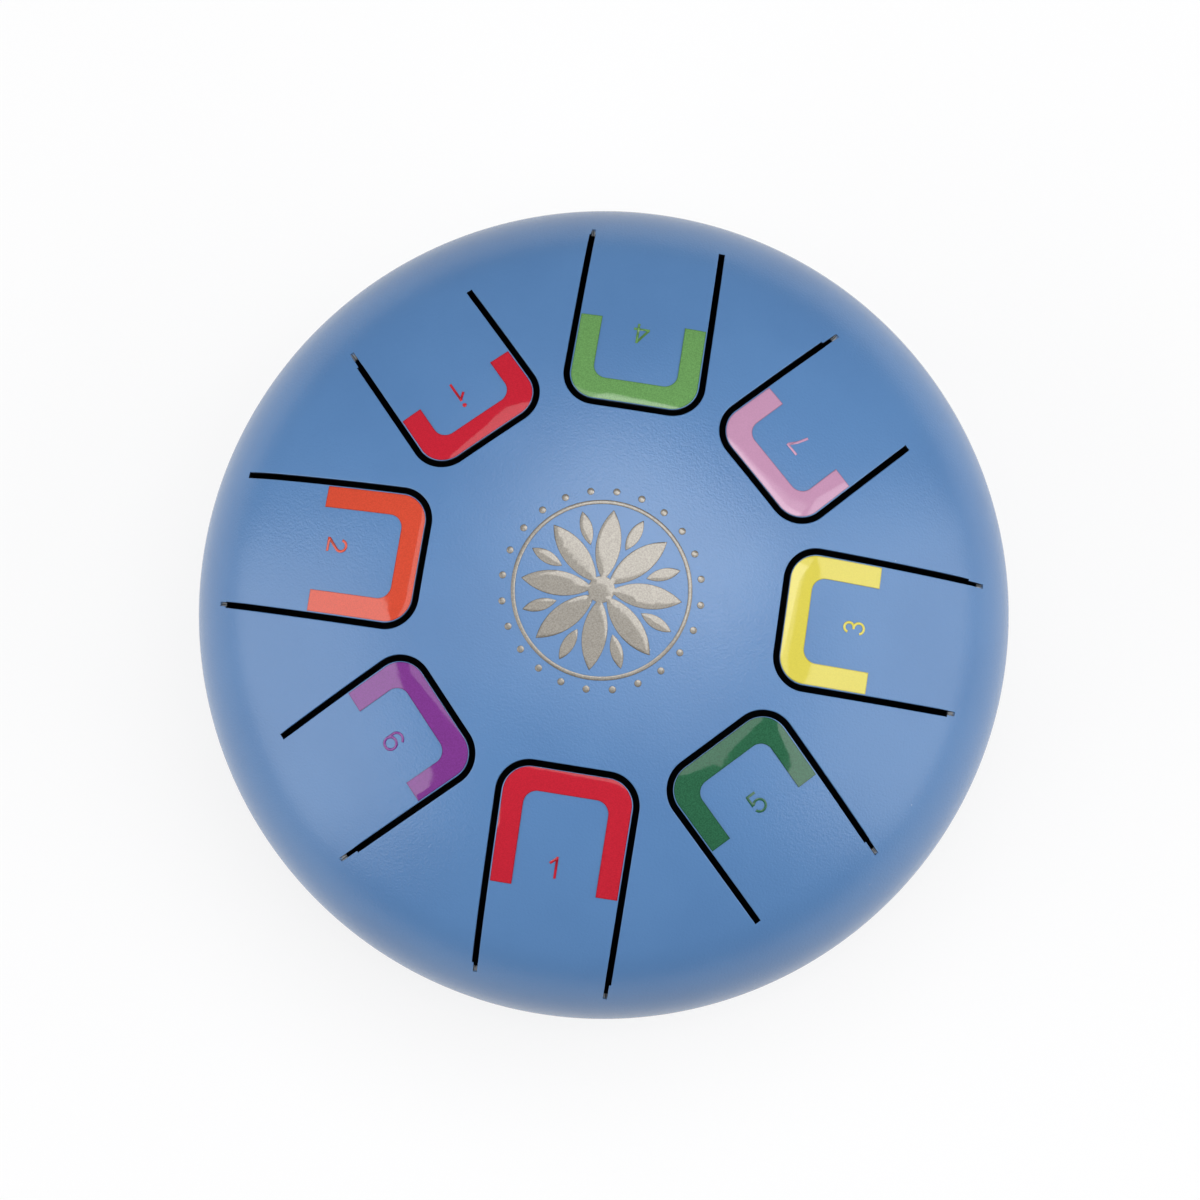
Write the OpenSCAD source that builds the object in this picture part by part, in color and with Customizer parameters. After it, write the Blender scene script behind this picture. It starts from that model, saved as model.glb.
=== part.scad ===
// Steel tongue drum: two pressed shells welded at the rim, with eight tongues cut in the upper one.
// The floor is z = 0, the drum's axis is Z and the lowest note points along -Y.

/* [Shells] */
// Diameter of the drum at its rim
drum_d = 150; // [146:0.5:160]
// Height of each pressed shell, from the rim plane to its crown
shell_h = 39; // [36.5:0.5:41.5]
// Radius of the knuckle that turns the crown into the rim
knuckle_r = 27; // [24:0.5:30]
// Thickness of the steel sheet
sheet_t = 1.2; // [0.9:0.05:1.5]
// Depth of the weld groove along the rim
weld_depth = 0.7; // [0.4:0.05:0.8]
// Diameter of the sound port in the lower shell
port_d = 30; // [20:0.5:40]

/* [Tongues] */
// Width of the steel that stays between the corners of neighbouring slots
web_w = 4.55; // [3.6:0.05:5.6]
// Distance from the rim to the end of the lowest note's slot, in plan
rim_margin = 6.2; // [5.2:0.1:9]
// Distance between the middle lines of a slot's two legs
slot_span = 23.5; // [21:0.1:24.5]
// Width of the slots
slot_w = 1.1; // [0.9:0.05:1.4]
// Radius of the slots' corners, at the middle line
slot_corner_r = 5.3; // [4:0.1:6.5]
// Gap that stands between a tongue's root and the shell
root_gap = 0.1; // [0.05:0.01:0.2]

/* [Tuning cuts] */
// Radius of the cutting disc that tuned the notes
cut_disc_r = 11; // [9:0.5:14]
// Thickness of the cutting disc
cut_w = 0.75; // [0.4:0.05:0.85]
// Depth that the disc went below the sheet's inner face
cut_depth = 1; // [0.5:0.1:1.5]
// Reach of a full cut past the end of its slot leg
cut_reach = 3; // [2:0.1:3.4]

/* [Note films] */
// Thickness of the coloured films
film_t = 0.12; // [0.08:0.01:0.2]
// Thickness of the glue under the films
glue_t = 0.02; // [0.01:0.01:0.05]
// Gap between a band and its tongue's sides
band_side_gap = 0.2; // [0.1:0.05:0.5]
// Gap between a band and its tongue's tip
band_tip_gap = 0.1; // [0.05:0.05:0.5]
// Width of a band across its tip
band_tip_w = 3.9; // [3:0.1:5]
// Width of a band along its legs
band_leg_w = 3.75; // [3:0.1:5]
// Radius of a band's inner corners
band_inner_r = 2.3; // [1:0.1:3]
// Height of the numbers
number_h = 3.8; // [3:0.1:4.5]
// Width of the numbers' strokes
number_stroke = 0.45; // [0.35:0.05:0.65]

/* [Rosette] */
// Radius of the foil rosette in the middle
rosette_r = 17.5; // [12:0.5:20]

/* [Feet] */
// Clearance between the floor and the lowest point of the shell
foot_rise = 5; // [3:0.5:8]
// Radius of the ring on which the feet stand
foot_ring_r = 40; // [33:0.5:45]
// Diameter of a foot on the floor
foot_d = 12; // [10:0.5:14]
// Diameter of a foot where it meets the shell
foot_top_d = 14; // [12:0.5:16]
// Bevel round the bottom of a foot
foot_bevel = 0.8; // [0.4:0.1:1.2]
// Diameter of a foot's neck in the shell
neck_d = 6; // [5:0.5:7]
// Clearance round a foot's neck
neck_gap = 0.05; // [0.02:0.01:0.1]
// Diameter of the barb that holds a foot inside the shell
barb_d = 8.6; // [7.6:0.1:9.6]
// Height of the barb above the shell's inner face
barb_h = 3.2; // [2:0.1:5]

/* [Hidden] */
$fn = 128;
drum_r = drum_d / 2;
rim_z = foot_rise + shell_h;

// The knuckle's middle lies in the rim plane, and the crown's middle lies below it on the axis.
knuckle_mid = drum_r - knuckle_r;
crown_r = (pow(knuckle_mid, 2) + pow(shell_h, 2) - pow(knuckle_r, 2)) / (2 * (shell_h - knuckle_r));
crown_drop = crown_r - shell_h;
// Angle from the axis at which the crown runs into the knuckle
blend_angle = atan(knuckle_mid / crown_drop);
blend_r = crown_r * sin(blend_angle);
deg = 180 / PI;
blend_arc = crown_r * blend_angle / deg;

// One overrun serves every cut, and reach_z clears the whole shell.
overrun = sheet_t;
reach_z = shell_h + overrun;

// Notes counter-clockwise from the front, with their semitones above the lowest one
note_names = ["1", "5", "3", "7", "4", "high_1", "2", "6"];
semitones = [0, 7, 4, 11, 5, 12, 2, 9];
note_colors = ["#c82637", "#236e46", "#ded246", "#c891b9", "#64a550", "#c82637", "#de5032", "#87379b"];
notes = [0:len(note_names) - 1];
note_pitch = 360 / len(note_names);
// Radius of the ring on which the slots' tips lie, where their corners leave the web between them
tip_ring_r = (web_w / 2 + slot_corner_r + slot_w / 2
    + (slot_span / 2 - slot_corner_r) * cos(note_pitch / 2)) / sin(note_pitch / 2) - slot_corner_r;
// Length of the lowest note's slot, from its tip to the ends of its legs
slot_long = drum_r - rim_margin - tip_ring_r;
front_angle = -90;
// Angles by which the press left each tongue off its even place, and turned it
place_errors = [-0.7, 0.4, 1.5, 0.7, 0.2, -0.8, -0.8, -0.5];
turn_errors = [0.5, -0.2, -1.0, 1.6, -0.2, -1.3, 0.2, -2.2];
// Places of the tips, as shares of the tip ring's radius
tip_shares = [0.960, 1.001, 0.973, 1.022, 1.020, 1.034, 0.981, 1.026];
// Ends of each slot's legs as shares of the slot's length, right and left of its number
right_leg_shares = [0.965, 0.971, 0.981, 0.969, 1.016, 0.963, 0.988, 0.949];
left_leg_shares = [0.960, 0.971, 0.957, 0.965, 1.010, 0.978, 0.991, 0.956];
// Reaches of the tuning cuts past the legs, as shares of a full cut, and none where zero
right_cut_shares = [0.93, 1.0, 1.0, 1.1, 0.4, 1.03, 0.4, 1.17];
left_cut_shares = [0.57, 0, 0.47, 0, 0, 0, 0, 0];
// Side of the slot on which each cut lies, as a share of the room beside the disc
cut_side_shares = [-0.8, 0.8, -0.8, -0.8, -0.4, -0.8, -0.4, -0.8];
// Ends of the bands, and steps from their inner edges to the numbers, as shares of the slot's length
band_shares = [0.560, 0.486, 0.491, 0.471, 0.499, 0.440, 0.537, 0.459];
number_shares = [0.2331, 0.1455, 0.1378, 0.0807, 0.1703, 0.0832, 0.2053, 0.1000];
// Steps of the numbers to the right of their tongue's middle line, as shares of the numbers' height
number_side_shares = [-0.066, 0.024, -0.018, 0.005, 0.024, 0.126, -0.210, 0.034];
// Height of the octave dot over a number's middle and its radius, as shares of the number's height
dot_rise_share = 0.745;
dot_share = 0.1;

// Distance from the slot's tip to the band
band_start = slot_w / 2 + band_tip_gap;

foot_count = 3;
foot_first_angle = 90;
// Height of the shell's outer face above the floor, over the foot's middle
foot_top_z = rim_z + crown_drop - sqrt(pow(crown_r, 2) - pow(foot_ring_r, 2));

paint = "#5882b9";
foil = "#b0aca0";
weld_paint = "#5079ae";
rubber = "#26272a";

// Length of a note's slot: it falls with the square root of the pitch
function slot_len(k) = slot_long * pow(2, -semitones[k] / 24);
function right_leg(k) = slot_len(k) * right_leg_shares[k];
function left_leg(k) = slot_len(k) * left_leg_shares[k];
// Distance from the slot's tip to the line about which the tongue bends
function root_at(k) = min(right_leg(k), left_leg(k)) - slot_w / 2;
function tip_at(k) = tip_ring_r * tip_shares[k];
// Distance from the slot's tip to the middle of the number, which clears the band and its own dot
function number_at(k) = band_start + band_tip_w + number_stroke
    + (dot_rise_share + dot_share) * number_h + slot_len(k) * number_shares[k];
// Angle of the shell's normal from the axis, at a radius
function normal_angle(r) = r < blend_r ? asin(r / crown_r) : asin((r - knuckle_mid) / knuckle_r);
// Height of the shell's outer face above the rim plane, at a radius
function dome_z(r) = r < blend_r
    ? sqrt(pow(crown_r, 2) - pow(r, 2)) - crown_drop
    : sqrt(pow(knuckle_r, 2) - pow(r - knuckle_mid, 2));
// Distance along the outer face from the axis to a radius, and the normal's angle at such a distance
function arc_at(r) = r < blend_r
    ? crown_r * normal_angle(r) / deg
    : blend_arc + knuckle_r * (normal_angle(r) - blend_angle) / deg;
function angle_at(arc) = arc < blend_arc
    ? arc / crown_r * deg
    : blend_angle + (arc - blend_arc) / knuckle_r * deg;
function radius_at(angle) = angle < blend_angle
    ? crown_r * sin(angle)
    : knuckle_mid + knuckle_r * sin(angle);

// Flat sector with its corner at the origin, wide enough to clear a radius
module sector(r, from, to) {
    steps = 4;
    polygon(concat([[0, 0]], [for (i = [0:steps]) let (a = from + (to - from) * i / steps)
        [2 * r * cos(a), 2 * r * sin(a)]]));
}

// Band of a circle, of width w about radius r, between two angles
module arc_band(r, w, from, to) {
    intersection() {
        difference() {
            circle(r = r + w / 2);
            circle(r = r - w / 2);
        }
        sector(r + w, from, to);
    }
}

// Half section of the space under a dome that lies at an offset from the sheet's outer face
module dome_region(offset_r, low_z, left_r) {
    blend_at = (crown_r + offset_r) * sin(blend_angle);
    intersection() {
        translate([0, -crown_drop]) circle(r = crown_r + offset_r);
        translate([left_r, low_z]) square([blend_at - left_r, reach_z - low_z]);
    }
    intersection() {
        translate([knuckle_mid, 0]) circle(r = knuckle_r + offset_r);
        translate([left_r, low_z]) square([drum_r + overrun - left_r, reach_z - low_z]);
    }
}

// Section of the domed sheet between two offsets from its outer face
module dome_section(low, high) {
    difference() {
        dome_region(high, 0, 0);
        dome_region(low, -overrun, -overrun);
    }
}

// Groove of the weld, across the outer edge of the rim
module weld_section(outer_r) {
    outer_z = outer_r - drum_r + weld_depth;
    polygon([[drum_r - weld_depth, 0], [outer_r, outer_z], [outer_r, -outer_z]]);
}

// Strip with a round-cornered tip at x = start, cut off square at x = end
module strip(start, half_w, corner, end) {
    intersection() {
        translate([start, -half_w]) square([end - start, 2 * half_w]);
        union() {
            translate([start + corner, -half_w]) square([end - start, 2 * half_w]);
            translate([start, corner - half_w]) square([2 * corner, 2 * (half_w - corner)]);
            for (side = [-1, 1])
                translate([start + corner, side * (half_w - corner)]) circle(r = corner);
        }
    }
}

// Place of a tongue on the drum: x runs outward from its slot's tip, in plan
module on_tongue(k) {
    rotate(front_angle + note_pitch * k + place_errors[k])
        translate([tip_at(k), 0])
        rotate(turn_errors[k])
        children();
}

module tongue_plan(k) {
    strip(slot_w / 2, (slot_span - slot_w) / 2, slot_corner_r - slot_w / 2, root_at(k));
}

// One leg of a slot, sawn off square at its end
module leg_plan(side, end) {
    translate([slot_corner_r, (side * slot_span - slot_w) / 2])
        square([end - slot_corner_r, slot_w]);
}

// Window in the shell: the tongue, the slot round it and the gap at its root
module window_plan(k) {
    strip(-slot_w / 2, (slot_span + slot_w) / 2, slot_corner_r + slot_w / 2, root_at(k) + root_gap);
    leg_plan(1, right_leg(k));
    leg_plan(-1, left_leg(k));
}

// Disc that cuts on past a slot leg and runs out through the sheet
module tuning_disc(k, side, leg_end, share) {
    rise = cut_disc_r - sheet_t - cut_depth;
    far = knuckle_r + rise;
    half_angle = acos((pow(far, 2) + pow(knuckle_r, 2) - pow(cut_disc_r, 2)) / (2 * far * knuckle_r));
    across = side * (slot_span + cut_side_shares[k] * (slot_w - cut_w)) / 2;
    end_r = norm([tip_at(k) + leg_end + cut_reach * share, across]);
    mid_angle = angle_at(arc_at(end_r) - knuckle_r * half_angle / deg);
    mid_r = radius_at(mid_angle);
    mid_x = sqrt(pow(mid_r, 2) - pow(across, 2));
    on_tongue(k)
        translate([mid_x - tip_at(k), across, dome_z(mid_r)])
        rotate([0, atan(tan(mid_angle) * mid_x / mid_r), 0])
        translate([0, 0, rise])
        rotate([90, 0, 0])
        cylinder(r = cut_disc_r, h = cut_w, center = true);
}

module tuning_discs(k) {
    tuning_disc(k, 1, right_leg(k), right_cut_shares[k]);
    if (left_cut_shares[k] > 0) tuning_disc(k, -1, left_leg(k), left_cut_shares[k]);
}

module upper_shell() {
    color(paint) translate([0, 0, rim_z]) difference() {
        rotate_extrude() difference() {
            dome_section(-sheet_t, 0);
            weld_section(drum_r + overrun);
        }
        for (k = notes) {
            linear_extrude(height = reach_z) on_tongue(k) window_plan(k);
            tuning_discs(k);
        }
    }
}

module tongue(k) {
    color(paint) translate([0, 0, rim_z]) intersection() {
        rotate_extrude() dome_section(-sheet_t, 0);
        linear_extrude(height = reach_z) on_tongue(k) tongue_plan(k);
    }
}

// Thin film of a plan shape, pressed onto the dome
module film() {
    translate([0, 0, rim_z]) intersection() {
        rotate_extrude() dome_section(glue_t, glue_t + film_t);
        linear_extrude(height = reach_z) children();
    }
}

module band(k) {
    half_w = (slot_span - slot_w) / 2 - band_side_gap;
    end = slot_len(k) * band_shares[k];
    color(note_colors[k]) film() on_tongue(k) difference() {
        strip(band_start, half_w, slot_corner_r - slot_w / 2 - band_side_gap, end);
        strip(band_start + band_tip_w, half_w - band_leg_w, band_inner_r, end + overrun);
    }
}

// Straight stroke between two points, given as shares of the number's height
module stroke(from_share, to_share) {
    run = (to_share - from_share) * number_h;
    translate(from_share * number_h)
        rotate(atan2(run[1], run[0]))
        translate([0, -number_stroke / 2])
        square([norm(run), number_stroke]);
}

// Curved stroke about a middle, with its middle and radius as shares of the number's height
module bow(mid_share, radius_share, from, to) {
    translate(mid_share * number_h) arc_band(radius_share * number_h, number_stroke, from, to);
}

module number_one() {
    stroke([0.03, -0.5], [0.03, 0.5]);
    stroke([0.05, 0.45], [-0.27, 0.165]);
}

module number_two() {
    bow([0, 0.19], 0.25, -42, 175);
    stroke([0.2, 0.05], [-0.29, -0.42]);
    stroke([-0.35, -0.435], [0.3, -0.435]);
}

module number_three() {
    bow([-0.02, 0.255], 0.215, -90, 168);
    bow([-0.02, -0.2], 0.24, -168, 90);
    stroke([-0.08, 0.04], [0, 0.04]);
}

module number_four() {
    stroke([0.16, -0.5], [0.16, 0.5]);
    stroke([0.16, 0.45], [-0.32, -0.21]);
    stroke([-0.36, -0.22], [0.37, -0.22]);
}

module number_five() {
    stroke([-0.3, 0.44], [0.15, 0.44]);
    stroke([-0.27, 0.47], [-0.27, -0.05]);
    bow([0, -0.16], 0.275, -162, 150);
}

module number_six() {
    translate([0.02, -0.17] * number_h) difference() {
        circle(d = 0.56 * number_h + number_stroke);
        circle(d = 0.56 * number_h - number_stroke);
    }
    bow([0.03, 0.165], 0.29, 30, 180);
    stroke([-0.26, 0.18], [-0.26, -0.18]);
}

module number_seven() {
    stroke([-0.33, 0.435], [0.33, 0.435]);
    stroke([0.3, 0.44], [0.08, 0]);
    stroke([0.088, 0.02], [-0.05, -0.5]);
}

module octave_dot() {
    translate([0.03, dot_rise_share] * number_h) circle(r = dot_share * number_h);
}

// Plan of a note's number, upright when seen from outside the drum
module number_plan(name) {
    if (name == "1" || name == "high_1") number_one();
    if (name == "high_1") octave_dot();
    if (name == "2") number_two();
    if (name == "3") number_three();
    if (name == "4") number_four();
    if (name == "5") number_five();
    if (name == "6") number_six();
    if (name == "7") number_seven();
}

module number(k) {
    color(note_colors[k]) film() on_tongue(k)
        translate([number_at(k), number_side_shares[k] * number_h])
        rotate(90)
        number_plan(note_names[k]);
}

// Leaf along x with a point at each end, whose ends and half width are shares of the rosette
module petal(from_share, to_share, half_share) {
    half_run = (to_share - from_share) * rosette_r / 2;
    half_w = half_share * rosette_r;
    side_r = (pow(half_run, 2) + pow(half_w, 2)) / (2 * half_w);
    translate([from_share * rosette_r + half_run, 0]) intersection() {
        translate([0, side_r - half_w]) circle(r = side_r);
        translate([0, half_w - side_r]) circle(r = side_r);
    }
}

module centre_rosette() {
    petals = 8;
    dots = 24;
    color(foil) film() {
        circle(r = 0.13 * rosette_r);
        for (i = [0:petals - 1]) {
            rotate(i * 360 / petals) petal(0.08, 0.78, 0.12);
            rotate((i + 0.5) * 360 / petals) petal(0.44, 0.78, 0.06);
        }
        difference() {
            circle(r = 0.87 * rosette_r);
            circle(r = 0.83 * rosette_r);
        }
        for (i = [0:dots - 1])
            rotate(i * 360 / dots) translate([0.96 * rosette_r, 0]) circle(r = 0.035 * rosette_r);
    }
}

module seam_weld() {
    color(weld_paint) translate([0, 0, rim_z]) rotate_extrude() weld_section(drum_r);
}

module at_foot(i) {
    rotate(foot_first_angle + i * 360 / foot_count) translate([foot_ring_r, 0, 0]) children();
}

// Ball inside the lower crown, at an offset from its outer face
module crown_ball(offset_r) {
    translate([0, 0, rim_z + crown_drop]) sphere(r = crown_r + offset_r);
}

module lower_shell() {
    color(paint) difference() {
        translate([0, 0, rim_z]) mirror([0, 0, 1]) rotate_extrude() difference() {
            dome_section(-sheet_t, 0);
            weld_section(drum_r + overrun);
        }
        cylinder(d = port_d, h = rim_z);
        for (i = [0:foot_count - 1])
            at_foot(i) cylinder(d = neck_d + 2 * neck_gap, h = rim_z);
    }
}

// Push-in foot: its body seats on the outer face and its barb on the inner one
module foot(i) {
    body_h = foot_top_z + foot_top_d / 2;
    barb_top = foot_top_z + sheet_t + barb_h;
    color(rubber) {
        difference() {
            at_foot(i) rotate_extrude() polygon([
                [0, 0],
                [foot_d / 2 - foot_bevel, 0],
                [foot_d / 2, foot_bevel],
                [foot_top_d / 2, body_h],
                [0, body_h]
            ]);
            crown_ball(0);
        }
        at_foot(i) translate([0, 0, foot_bevel]) cylinder(d = neck_d, h = barb_top - foot_bevel);
        intersection() {
            at_foot(i) rotate_extrude() polygon([
                [0, foot_bevel],
                [barb_d / 2, foot_bevel],
                [barb_d / 2, barb_top - barb_h / 2],
                [neck_d / 2, barb_top],
                [0, barb_top]
            ]);
            crown_ball(-sheet_t);
        }
    }
}

upper_shell();
lower_shell();
seam_weld();
centre_rosette();
for (k = notes) {
    tongue(k);
    band(k);
    number(k);
}
for (i = [0:foot_count - 1])
    foot(i);
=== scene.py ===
import math
import bpy
import numpy as np
from mathutils import Matrix, Vector
from mathutils.geometry import delaunay_2d_cdt


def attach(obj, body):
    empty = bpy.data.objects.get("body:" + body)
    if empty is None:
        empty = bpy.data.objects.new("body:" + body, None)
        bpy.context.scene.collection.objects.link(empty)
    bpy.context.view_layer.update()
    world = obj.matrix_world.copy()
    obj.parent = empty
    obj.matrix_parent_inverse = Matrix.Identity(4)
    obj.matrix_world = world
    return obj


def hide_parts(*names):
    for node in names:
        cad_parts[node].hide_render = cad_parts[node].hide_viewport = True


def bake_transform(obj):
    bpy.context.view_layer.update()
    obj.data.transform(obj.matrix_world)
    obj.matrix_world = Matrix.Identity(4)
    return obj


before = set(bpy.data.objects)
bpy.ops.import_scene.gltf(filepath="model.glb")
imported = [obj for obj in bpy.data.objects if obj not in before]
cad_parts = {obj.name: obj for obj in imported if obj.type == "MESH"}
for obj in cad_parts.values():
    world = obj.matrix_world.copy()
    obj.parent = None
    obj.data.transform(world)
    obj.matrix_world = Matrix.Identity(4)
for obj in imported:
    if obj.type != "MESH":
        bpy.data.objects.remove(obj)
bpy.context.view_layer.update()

# Steel tongue drum. Plans are drawn flat in millimetres, then pressed onto the dome in metres.
scene = bpy.context.scene
mm = 0.001
automatic = -1.0  # a point that takes its normal from its faces

drum = {
    "rimRadius": 75.0,
    "shellHeight": 39.0,
    "knuckleRadius": 27.0,
    "sheet": 1.2,
    "weldDepth": 0.7,
    "rimHeight": 44.0,
    "planRadius": 70.5,  # inside it the plan is meshed freely, outside it in rings
    "ringPoints": 288,
    "outerRings": 16,
    "innerRings": 9,
    "meshPitch": 1.7,
    "meshClear": 0.75,
}
sheet, rimHeight, knuckleRadius, planRadius = (drum[k] for k in ("sheet", "rimHeight", "knuckleRadius", "planRadius"))
slotCut = {
    "width": 1.1,
    "span": 23.5,
    "corner": 5.3,
    "tipRing": 31.5033,
    "longest": 37.2967,
    "edgeRound": 0.17,
    "kerfRound": 0.04,
    "sharpenFrom": 1.8,  # the rounded edge turns into the kerf's this far before a leg's end
    "sharpenRun": 1.2,
    "levels": (0.12, 0.3, 0.5, 0.7, 0.85, 1.0),
    "rootSteps": 26,
    "bendEnd": 0.35,  # a point on each tongue's middle line lies at this share of the root's distance from the tip
}
tuningCut = {"discRadius": 11.0, "width": 0.75, "depth": 1.0, "reach": 3.0}
film = {
    "lift": 0.14,
    "under": 0.01,
    "edgeRound": 0.03,
    "crownWidth": 1.9,  # the film's top falls towards the slot over this width
    "crownDrop": 0.1,
    "start": 0.65,
    "tipWidth": 3.9,
    "legWidth": 3.75,
    "sideGap": 0.2,
    "innerCorner": 2.3,
    # rows of mesh points along the edge and the room round them, in shares of the crown's width
    "rows": (0.14, 0.4, 0.75),
    "rowClear": 0.9,
    "innerClear": 1.05,
    "leastGap": 0.2,
    "behind": 9.0,  # where the outline that only follows the slot closes, behind the legs' ends
}
digit = {"height": 3.8, "stroke": 0.45, "dotRise": 0.745, "dotSize": 0.1, "edgeRound": 0.03,
         "crownWidth": 0.19, "crownDrop": 0.06, "bowStep": 7.0}

# Counter-clockwise from the front. Legs and cuts are right and left of the number.
noteKeys = ("name", "film", "semitones", "place", "turn", "tip", "legs", "cuts", "cutSide", "band", "number", "side")
notes = [dict(zip(noteKeys, row)) for row in (
    ("1", "redFilm", 0, -0.7, 0.5, 0.960, (0.965, 0.960), (0.93, 0.57), -0.8, 0.560, 0.2331, -0.066),
    ("5", "darkGreenFilm", 7, 0.4, -0.2, 1.001, (0.971, 0.971), (1.0, 0), 0.8, 0.486, 0.1455, 0.024),
    ("3", "yellowFilm", 4, 1.5, -1.0, 0.973, (0.981, 0.957), (1.0, 0.47), -0.8, 0.491, 0.1378, -0.018),
    ("7", "pinkFilm", 11, 0.7, 1.6, 1.022, (0.969, 0.965), (1.1, 0), -0.8, 0.471, 0.0807, 0.005),
    ("4", "lightGreenFilm", 5, 0.2, -0.2, 1.020, (1.016, 1.010), (0.4, 0), -0.4, 0.499, 0.1703, 0.024),
    ("high_1", "redFilm", 12, -0.8, -1.3, 1.034, (0.963, 0.978), (1.03, 0), -0.8, 0.440, 0.0832, 0.126),
    ("2", "orangeFilm", 2, -0.8, 0.2, 0.981, (0.988, 0.991), (0.4, 0), -0.4, 0.537, 0.2053, -0.210),
    ("6", "purpleFilm", 9, -0.5, -2.2, 1.026, (0.949, 0.956), (1.17, 0), -0.8, 0.459, 0.1000, 0.034),
)]

knuckleMiddle = drum["rimRadius"] - knuckleRadius
crownRadius = (knuckleMiddle ** 2 + drum["shellHeight"] ** 2 - knuckleRadius ** 2) / (
    2 * (drum["shellHeight"] - knuckleRadius))
crownDrop = crownRadius - drum["shellHeight"]
blendSine = math.sin(math.atan(knuckleMiddle / crownDrop))  # the crown runs into the knuckle at this lean


def polar(radius, angle):
    return radius * math.cos(angle), radius * math.sin(angle)


def turned(x, y, angle):
    return x * math.cos(angle) - y * math.sin(angle), x * math.sin(angle) + y * math.cos(angle)


def domeHeight(x, y):
    # height of the upper shell's outer face over the floor, in millimetres
    radius = math.hypot(x, y)
    if radius < crownRadius * blendSine:
        return rimHeight + math.sqrt(crownRadius ** 2 - radius ** 2) - crownDrop
    return rimHeight + math.sqrt(max(0.0, knuckleRadius ** 2 - (radius - knuckleMiddle) ** 2))


def domeLean(x, y):
    # how far the outer face leans there
    radius = math.hypot(x, y)
    if radius > crownRadius * blendSine:
        return math.asin((radius - knuckleMiddle) / knuckleRadius)
    return math.asin(radius / crownRadius)


def rgb(red, green, blue):
    # a screen colour as the linear one that shaders take
    levels = [c / 255 for c in (red, green, blue)]
    return [c / 12.92 if c <= 0.04045 else ((c + 0.055) / 1.055) ** 2.4 for c in levels] + [1.0]


# Nodes written as expressions
def operator(operation, reflected=False):
    def apply(self, other):
        return self.graph.math(operation, *((other, self) if reflected else (self, other)))
    return apply


class Wire:
    # one output socket; arithmetic on it adds Math nodes
    __add__, __radd__ = operator("ADD"), operator("ADD", True)
    __sub__, __rsub__ = operator("SUBTRACT"), operator("SUBTRACT", True)
    __mul__, __rmul__ = operator("MULTIPLY"), operator("MULTIPLY", True)
    __truediv__, __rtruediv__ = operator("DIVIDE"), operator("DIVIDE", True)
    __lt__, __gt__ = operator("LESS_THAN"), operator("GREATER_THAN")

    def __init__(self, graph, socket):
        self.graph, self.socket = graph, socket

    def rise(self, low, high):
        # 0 below low, 1 above high, smooth between them
        return self.graph.add("ShaderNodeMapRange", {"Value": self, "From Min": low, "From Max": high},
                              interpolation_type="SMOOTHSTEP")


class Graph:
    def __init__(self, tree):
        self.tree, self.count = tree, 0

    def add(self, kind, inputs=None, output=0, **settings):
        node = self.tree.nodes.new(kind)
        node.location = (self.count // 5 * 200, self.count % 5 * -220)
        self.count += 1
        for name, value in settings.items():
            setattr(node, name, value)
        for name, value in (inputs or {}).items():
            if isinstance(value, Wire):
                self.tree.links.new(value.socket, node.inputs[name])
            else:
                node.inputs[name].default_value = value
        return Wire(self, node.outputs[output]) if node.outputs else None

    def math(self, operation, *values):
        return self.add("ShaderNodeMath", dict(enumerate(values)), operation=operation)

    def vector(self, operation, *values, output="Vector"):
        return self.add("ShaderNodeVectorMath", dict(enumerate(values)), output, operation=operation)

    def mix(self, factor, *colors):
        # a colour is an output, a list of linear values or a screen colour of three numbers
        first, second = (rgb(*c) if isinstance(c, tuple) else c for c in colors)
        return self.add("ShaderNodeMix", {0: factor, 6: first, 7: second}, 2, data_type="RGBA")

    def attribute(self, name):
        return self.add("ShaderNodeAttribute", output="Fac", attribute_name=name)

    def noise(self, place, size, detail=2.0, roughness=0.5):
        # size is the width of one blotch, in millimetres
        return self.add("ShaderNodeTexNoise", {"Vector": place, "Scale": 1 / (size * mm), "Detail": detail,
                                               "Roughness": roughness})

    def bump(self, height, depth, normal=None):
        # depth is the height of the relief, in millimetres
        inputs = {"Height": height, "Distance": depth * mm, "Strength": 1.0}
        if normal is not None:
            inputs["Normal"] = normal
        return self.add("ShaderNodeBump", inputs)


def newMaterial(name, surface):
    material = bpy.data.materials.new(name)
    material.use_nodes = True
    material.node_tree.nodes.clear()
    graph = Graph(material.node_tree)
    place = graph.add("ShaderNodeTexCoord", output="Object")
    shader = graph.add("ShaderNodeBsdfPrincipled", surface(graph, place))
    graph.add("ShaderNodeOutputMaterial", {"Surface": shader})
    return material


def finished(color, roughness, normal, specular=0.5, metallic=0.0):
    return {"Base Color": color, "Roughness": roughness, "Normal": normal, "Specular IOR Level": specular,
            "Metallic": metallic}


# Finishes; the sizes of blotches and grains are in millimetres
paint = {"color": (86, 126, 174), "deep": (78, 117, 165), "deepFrom": (0.35, 0.7), "deepShare": 0.5,
         "cloudSize": 26.0, "peelSize": 0.42, "peelShare": 0.8, "fineSize": 0.3, "fineShare": 0.2, "peelDepth": 0.062,
         "speckColor": (196, 204, 214), "speckSize": 5.0, "speckEdge": (0.012, 0.028), "speckLuck": 0.72,
         "speckShare": 0.55, "speckHeight": 0.3, "roughness": 0.26, "rougher": 0.04}


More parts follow.
